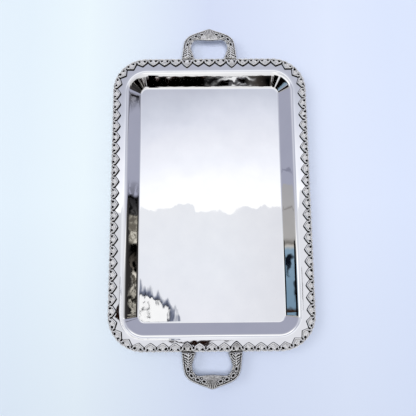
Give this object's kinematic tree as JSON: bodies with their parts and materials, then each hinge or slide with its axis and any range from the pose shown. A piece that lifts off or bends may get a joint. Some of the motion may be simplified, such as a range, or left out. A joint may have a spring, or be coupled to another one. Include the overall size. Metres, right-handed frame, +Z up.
{
  "type": "serving tray",
  "caption": "Rectangular serving tray with a sloped, mirror-polished well, a cast shell border round the rim and a fixed loop handle at each short end.",
  "frame": {"origin": "under the middle of the pan, on the plane that the tray stands on", "axes": "+X across the width, +Y along the length towards the back handle, +Z up out of the well"},
  "size_m": [0.356, 0.653, 0.0263],
  "materials": {
    "polished_plate": "silver plate, polished to a mirror, with the faint waviness of pressed sheet",
    "antique_casting": "silver-plated casting, bright on the high edges and oxidised dark in the recesses",
    "rivet_metal": "plain bright rivet heads, slightly dulled"
  },
  "bodies": {
    "root": {"tray_pan": "polished_plate", "corner_border_back_right": "antique_casting", "corner_border_back_left": "antique_casting", "corner_border_front_right": "antique_casting", "corner_border_front_left": "antique_casting", "side_border_back_right": "antique_casting", "side_border_back_left": "antique_casting", "side_border_front_right": "antique_casting", "side_border_front_left": "antique_casting", "end_border_back_right": "antique_casting", "end_border_back_left": "antique_casting", "end_border_front_right": "antique_casting", "end_border_front_left": "antique_casting", "centre_border_back": "antique_casting", "centre_border_front": "antique_casting", "handle_back": "antique_casting", "handle_front": "antique_casting", "handle_rivets": "rivet_metal"}
  },
  "joints": []
}
